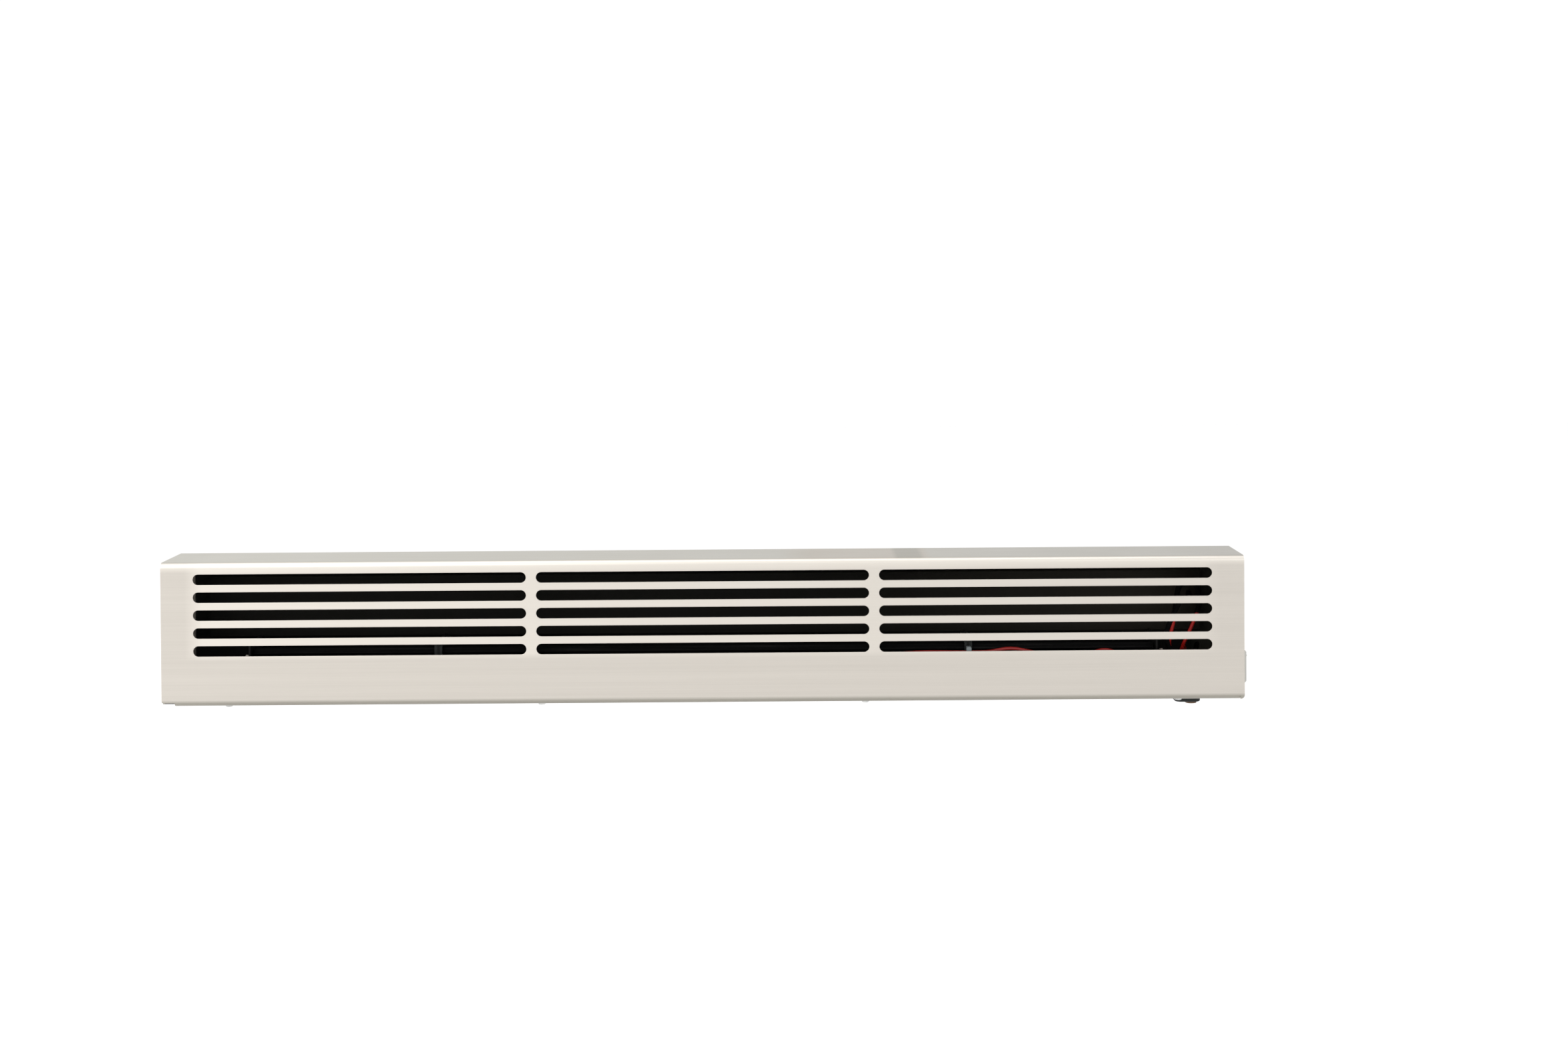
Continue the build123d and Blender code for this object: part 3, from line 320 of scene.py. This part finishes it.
def coated_steel(name, colour, rough, gloss, paler_painted_light):
    """Powder-coated steel: a fine orange-peel bump and a little dust in the tint.

    The last argument gives the x where painted light starts to make the coat paler, the x where it
    is full, and its colour.
    """
    s = Shade(name)
    peel = s.noise((900.0, 900.0, 900.0), detail=2.0)
    dust = s.noise((18.0, 18.0, 18.0), detail=5.0, roughness=0.65)
    tint = s.mix(s.spread(dust, 0.0, 0.35), colour, shaded(colour, 1.5, 0.001))
    start, end, pale = paler_painted_light
    # painted light: the coat paler towards the right end
    tint = s.mix(s.between(s.split()["X"], start, end), tint, pale)
    s.link(tint, "Base Color")
    s.link(s.spread(dust, rough - 0.08, rough + 0.08), "Roughness")
    s.link(s.bump(peel, 0.25, 0.0001), "Normal")
    s.set(Specular_IOR_Level=gloss)
    return s.material


def plated_steel(name, pale, deep, rough=0.32):
    """Zinc or tin plate: cloudy spangle in tint and roughness over a fine grain."""
    s = Shade(name)
    cloud = s.noise((260.0, 260.0, 260.0), detail=4.0, roughness=0.6)
    grain = s.noise((1800.0, 1800.0, 1800.0), detail=2.0)
    s.set(Metallic=1.0)
    s.link(s.mix(s.spread(cloud, 0.0, 1.0), deep, pale), "Base Color")
    s.link(s.spread(cloud, rough - 0.08, rough + 0.10), "Roughness")
    s.link(s.bump(grain, 0.2, 0.00003), "Normal")
    return s.material


def anodised_extrusion():
    """Black anodised aluminium: die lines along X and grey rubbed streaks on them."""
    s = Shade("anodised_extrusion")
    lines = s.noise((1.5, 1400.0, 1400.0), detail=3.0)
    rubbed = s.noise((11.0, 420.0, 420.0), detail=4.0, roughness=0.65)
    s.set(Metallic=0.2, Specular_IOR_Level=0.06)
    s.link(s.ramp(rubbed, [
        (0.45, (0.0022, 0.0022, 0.0022)),
        (0.62, (0.005, 0.005, 0.005)),
        (0.78, (0.020, 0.019, 0.018)),
    ]), "Base Color")
    s.link(s.spread(rubbed, 0.62, 0.48), "Roughness")
    s.link(s.bump(lines, 0.3, 0.00005), "Normal")
    return s.material


def moulded_plastic(name, colour, rough=0.5, grain=1500.0, strength=0.25, sheen=1.12, gloss=0.5):
    """Moulded plastic: fine spark-eroded grain, and slow change of tint and roughness."""
    s = Shade(name)
    fine = s.noise((grain, grain, grain), detail=2.0)
    slow = s.noise((45.0, 45.0, 45.0), detail=3.0)
    s.link(s.mix(s.spread(slow, 0.0, 1.0), colour, shaded(colour, sheen)), "Base Color")
    s.link(s.spread(slow, rough - 0.05, rough + 0.07), "Roughness")
    s.link(s.bump(fine, strength, 0.00006), "Normal")
    s.set(Specular_IOR_Level=gloss)
    return s.material


def cast_ceramic():
    """Unglazed white ceramic: chalky, with faint pits and scorch."""
    s = Shade("cast_ceramic")
    pits = s.noise((900.0, 900.0, 900.0), detail=4.0)
    scorch = s.noise((70.0, 70.0, 70.0), detail=3.0)
    s.link(s.ramp(scorch, [(0.35, (0.80, 0.77, 0.70)), (0.75, (0.62, 0.56, 0.47))]), "Base Color")
    s.set(Roughness=0.85)
    s.link(s.bump(pits, 0.4, 0.00012), "Normal")
    return s.material


def wire_insulation(name, colour, rough=0.38, dusty=0.3, gloss=0.4):
    """Silicone insulation: a dusty soft gloss, wavy, and with painted shade in front of the
    element.
    """
    s = Shade(name)
    dust = s.noise((240.0, 240.0, 240.0), detail=4.0)
    wave = s.noise((600.0, 600.0, 600.0), detail=1.0)
    tint = s.mix(s.spread(dust, 0.0, dusty), colour, shaded(colour, 0.6, 0.02))
    painted_shade_front = s.between(s.split()["Y"], *ELEMENT_FRONT)
    # painted shade on the leads in front of the element, behind the cover
    s.link(s.over(tint, painted_shade_front, 0.85, shaded(colour, 0.22)), "Base Color")
    s.link(s.spread(dust, rough - 0.08, rough + 0.12), "Roughness")
    s.set(Specular_IOR_Level=gloss)
    s.link(s.bump(wave, 0.25, 0.0001), "Normal")
    return s.material


def braided_sleeving():
    """Black glass-fibre sleeving: crossed fine ribs and a matt, furry surface."""
    s = Shade("braided_sleeving")
    x, _, z = s.split()
    over = s.maths("SINE", s.maths("MULTIPLY", s.maths("ADD", x, z), WEAVE), 0.0)
    under = s.maths("SINE", s.maths("MULTIPLY", s.maths("SUBTRACT", x, z), WEAVE), 0.0)
    weave = s.maths("MULTIPLY", over, under)
    stops = [(0.2, (0.0015, 0.0015, 0.0015)), (0.9, (0.004, 0.004, 0.004))]
    s.link(s.ramp(weave, stops), "Base Color")
    s.link(s.spread(s.noise((900.0, 900.0, 900.0)), 0.75, 0.9), "Roughness")
    s.set(Specular_IOR_Level=0.05)
    s.link(s.bump(weave, 0.5, 0.0002), "Normal")
    return s.material


def earth_insulation():
    """Green insulation with a yellow stripe that winds round it."""
    s = Shade("earth_insulation")
    x, y, z = s.split()
    total = s.maths("ADD", x, s.maths("ADD", y, z))
    wound = s.maths("SINE", s.maths("MULTIPLY", total, STRIPE), 0.0)
    s.link(s.ramp(wound, [(0.10, (0.04, 0.25, 0.03)), (0.20, (0.72, 0.62, 0.03))]), "Base Color")
    s.link(s.spread(s.noise((240.0, 240.0, 240.0)), 0.34, 0.5), "Roughness")
    return s.material


def brass_metal():
    """Turned brass: a cloudy tint, and the lathe's unevenness in the roughness."""
    s = Shade("turned_brass")
    lathe = s.noise((700.0, 700.0, 700.0), detail=3.0)
    s.set(Metallic=1.0)
    s.link(s.ramp(lathe, [(0.3, (0.52, 0.36, 0.12)), (0.7, (0.72, 0.54, 0.22))]), "Base Color")
    s.link(s.spread(lathe, 0.22, 0.38), "Roughness")
    return s.material


def make_finishes():
    """One material for each of the record's slots."""
    return {
        "stainless": brushed_steel(
            "brushed_stainless", (0.60, 0.565, 0.515), (0.535, 0.50, 0.455), 0.42
        ),
        "black_steel": coated_steel(
            "black_powder_coat", (0.005, 0.005, 0.0046), 0.65, gloss=0.15,
            # painted light on the chassis at the right end, which lies in shadow
            paler_painted_light=(0.462, 0.472, (0.034, 0.034, 0.028)),
        ),
        "dark_steel": coated_steel(
            "dark_powder_coat", (0.0050, 0.0048, 0.0038), 0.85, gloss=0.14,
            # painted light, paler towards the right
            paler_painted_light=(0.15, 0.43, (0.0175, 0.0155, 0.0120)),
        ),
        "zinc": plated_steel("zinc_plate", (0.62, 0.62, 0.60), (0.42, 0.42, 0.42)),
        "element": anodised_extrusion(),
        "sheath": plated_steel("drawn_sheath", (0.30, 0.28, 0.26), (0.20, 0.18, 0.17), 0.4),
        "ceramic": cast_ceramic(),
        "switch_grey": moulded_plastic("switch_housing_grey", (0.36, 0.355, 0.33), 0.5),
        "rocker_grey": moulded_plastic("rocker_grey", (0.50, 0.52, 0.47), 0.36, strength=0.12),
        "brass": brass_metal(),
        "black_plastic": moulded_plastic("black_moulding", (0.010, 0.012, 0.011), 0.5, gloss=0.25),
        "brown_rubber": moulded_plastic(
            "brown_rubber", (0.115, 0.072, 0.046), 0.6,
            grain=700.0, strength=0.4, sheen=1.3, gloss=0.3,
        ),
        "white_plastic": moulded_plastic("white_moulding", (0.66, 0.64, 0.58), 0.45),
        "red_insulation": wire_insulation("red_silicone", (0.55, 0.012, 0.008)),
        "black_insulation": wire_insulation(
            "black_silicone", (0.001, 0.001, 0.001), rough=0.8, dusty=0.03, gloss=0.08
        ),
        "black_sleeving": braided_sleeving(),
        "clip_grey": moulded_plastic("clip_grey", (0.10, 0.115, 0.12), 0.6),
        "earth_insulation": earth_insulation(),
        "tin": plated_steel("tin_plate", (0.68, 0.67, 0.64), (0.50, 0.49, 0.47), 0.28),
    }


def paint_nodes(finishes):
    """Puts each slot's material on the CAD nodes that use it."""
    for part in frame["record"]["subparts"]:
        node = nodes[part["node"]]
        node.data.materials.clear()
        node.data.materials.append(finishes[part["material_slot"]])


# ---------------------------------------------------------------- finer pieces

MM = 0.001
SWITCH_CENTRE = (497.0, -50.0, -37.8)
ROCKER_TILT = 8.0
ROCKER_WIDTH = 18.6
ROCKER_ROUNDING = 0.6
ROCKER_NOSE = 12.0  # from the pivot up or down to the tip of a nose
ROCKER_REACH = 6.2  # from the pivot out to the noses
ROCKER_HOLLOW = 0.9
ENTRY_CENTRE = (455.0, -43.0)
CASING_UNDERSIDE = -66.35
SHOULDER_DROP, TIP_DROP = 6.2, 8.2  # the nipple's shoulder and tip under the casing
NIPPLE_R = 5.75
NIPPLE_TAPER = 0.6
NIPPLE_RIB = 0.14
TIP_ROUNDING = 0.8
TIP_DIMPLE = 0.5
ON_AXIS = 0.05  # the radius that stands for a point on the axis
ROUND_STEPS = 64
END_STEPS = 6
SHARP = radians(40)


def corner_cut(outline, reach, times):
    """The closed outline with its corners rounded.

    Each corner keeps a guard point at reach on both of its sides. Then every side is cut at a
    quarter and at three quarters of its length, again and again, which tends to a smooth curve.
    """
    before = outline - np.roll(outline, 1, axis=0)
    after = np.roll(outline, -1, axis=0) - outline
    before /= np.linalg.norm(before, axis=1, keepdims=True)
    after /= np.linalg.norm(after, axis=1, keepdims=True)
    points = np.stack([outline - reach * before, outline, outline + reach * after], axis=1)
    points = points.reshape(-1, 2)
    for _ in range(times):
        following = np.roll(points, -1, axis=0)
        near = 0.75 * points + 0.25 * following
        far = 0.25 * points + 0.75 * following
        points = np.stack([near, far], axis=1).reshape(-1, 2)
    return points


def inset(outline, depth):
    """The closed outline moved inwards by depth, along the normal of the chord at each point."""
    chord = np.roll(outline, -1, axis=0) - np.roll(outline, 1, axis=0)
    normal = np.stack([-chord[:, 1], chord[:, 0]], axis=1)
    normal /= np.linalg.norm(normal, axis=1, keepdims=True)
    following = np.roll(outline, -1, axis=0)
    area = np.sum(outline[:, 0] * following[:, 1] - outline[:, 1] * following[:, 0])
    return outline + np.sign(area) * depth * normal


def skin(name, rings, body, slot):
    """A closed surface over rings, in millimetres.

    The rings are rows of the same number of points. Neighbouring rings are joined by quads, and
    the first and last ring by a fan to their middle. The whole is turned outwards by the sign of
    its volume, which is a sixth of the sum of the triple products of its triangles.
    """
    rows, around, _ = rings.shape
    middles = [rings[0].mean(axis=0), rings[-1].mean(axis=0)]
    points = np.concatenate([rings.reshape(-1, 3), middles]) * MM
    here = np.arange(around)
    there = np.roll(here, -1)
    lower = np.arange(rows - 1)[:, None] * around
    upper = lower + around
    quads = np.stack([lower + here, lower + there, upper + there, upper + here], axis=-1)
    quads = quads.reshape(-1, 4)
    last = (rows - 1) * around
    ends = np.concatenate([
        np.stack([np.full(around, rows * around), there, here], axis=-1),
        np.stack([np.full(around, rows * around + 1), last + here, last + there], axis=-1),
    ])
    triangles = np.concatenate([quads[:, :3], quads[:, [0, 2, 3]], ends])
    a, b, c = (points[triangles[:, corner]] for corner in range(3))
    if np.sum(a * np.cross(b, c)) < 0:
        quads, ends = quads[:, ::-1], ends[:, ::-1]
    mesh = bpy.data.meshes.new(name)
    mesh.from_pydata(points.tolist(), [], quads.tolist() + ends.tolist())
    mesh.shade_smooth()
    mesh.set_sharp_from_angle(angle=SHARP)
    mesh.materials.append(finishes[slot])
    piece = bpy.data.objects.new(name, mesh)
    scene.collection.objects.link(piece)
    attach(piece, body)
    return piece


def soft_ends(outline, half_width, rounding):
    """Insets and places of a prism's rows: a quarter circle of the given rounding at each end."""
    turn = np.linspace(0.0, pi / 2, END_STEPS)
    depths = rounding * (1.0 - np.sin(turn))
    places = half_width - rounding * (1.0 - np.cos(turn))
    depths = np.concatenate([depths, depths[::-1]])
    places = np.concatenate([-places, places[::-1]])
    return [(inset(outline, depth), place) for depth, place in zip(depths, places)]


def rocker_cap():
    """The rocker: a hollow-ground face between two noses, swept across and rounded at both sides.

    The face is a parabola: its reach is that of the noses, less the hollow times one minus the
    square of z over the nose's height. The back narrows to the pivot.
    """
    z = np.linspace(-11.2, 11.2, 15)
    hollow = ROCKER_HOLLOW * (1.0 - (z / ROCKER_NOSE) ** 2)
    face = np.stack([ROCKER_REACH - hollow, z], axis=1)
    upper_back = [(5.0, ROCKER_NOSE), (0.8, 11.8), (-4.0, 4.0)]
    lower_back = [(x, -up) for x, up in reversed(upper_back)]
    back = np.array(upper_back + lower_back)
    outline = corner_cut(np.concatenate([face, back]), 0.25, 2)
    tilt = radians(ROCKER_TILT)
    rows = []
    for section, across in soft_ends(outline, ROCKER_WIDTH / 2, ROCKER_ROUNDING):
        x = section[:, 0] * np.cos(tilt) + section[:, 1] * np.sin(tilt)
        up = section[:, 1] * np.cos(tilt) - section[:, 0] * np.sin(tilt)
        rows.append(np.stack([x, np.full_like(x, across), up], axis=1) + SWITCH_CENTRE)
    cap = skin("rocker_cap", np.array(rows), "rocker", "rocker_grey")
    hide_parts("switch_rocker")


def revolved(name, profile, centre, body, slot):
    """A profile of radius and height turned about the upright axis through centre."""
    turn = np.linspace(0.0, 2 * pi, ROUND_STEPS, endpoint=False)
    radius, height = profile[:, :1], profile[:, 1:]
    x = centre[0] + radius * np.cos(turn)
    y = centre[1] + radius * np.sin(turn)
    z = np.broadcast_to(height, x.shape)
    return skin(name, np.stack([x, y, z], axis=-1), body, slot)


def entry_nipple():
    """The rubber nipple: two soft ribs, a rounded tip with a dimple, and a hollow inside.

    Under the flange the radius falls in a straight taper, with a cosine rib on it. The dimple
    rises towards the axis as the square of a cosine.
    """
    shoulder, tip = CASING_UNDERSIDE - SHOULDER_DROP, CASING_UNDERSIDE - TIP_DROP
    z = np.linspace(shoulder, tip + TIP_ROUNDING, 24)
    fall = (shoulder - z) / (shoulder - tip)
    radius = NIPPLE_R - NIPPLE_TAPER * fall + NIPPLE_RIB * np.cos(fall * 4 * pi)
    ribbed = np.stack([radius, z], axis=1)[::-1]
    turn = np.linspace(0.0, pi / 2, 9)
    r_tip = ribbed[0, 0] - TIP_ROUNDING
    tip_radius = r_tip + TIP_ROUNDING * np.sin(turn)
    tip_height = tip + TIP_ROUNDING * (1.0 - np.cos(turn))
    rounded_tip = np.stack([tip_radius, tip_height], axis=1)
    across = np.linspace(ON_AXIS, r_tip, 8)
    rise = TIP_DIMPLE * np.cos(across / r_tip * pi / 2) ** 2
    dimple = np.stack([across, tip + rise], axis=1)
    inside = np.array([
        (5.8, shoulder + 0.2), (5.8, -56.2), (5.6, -55.9), (4.0, -55.9), (3.8, -56.2),
        (3.8, shoulder + 0.8), (3.5, shoulder + 0.4), (ON_AXIS, shoulder + 0.2),
    ])
    profile = np.concatenate([dimple, rounded_tip[1:], ribbed[1:], inside])
    nipple = revolved("entry_nipple", profile, ENTRY_CENTRE, "root", "brown_rubber")
    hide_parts("cable_entry_seal")


make_camera()
make_studio()
finishes = make_finishes()
paint_nodes(finishes)
rocker_cap()
entry_nipple()
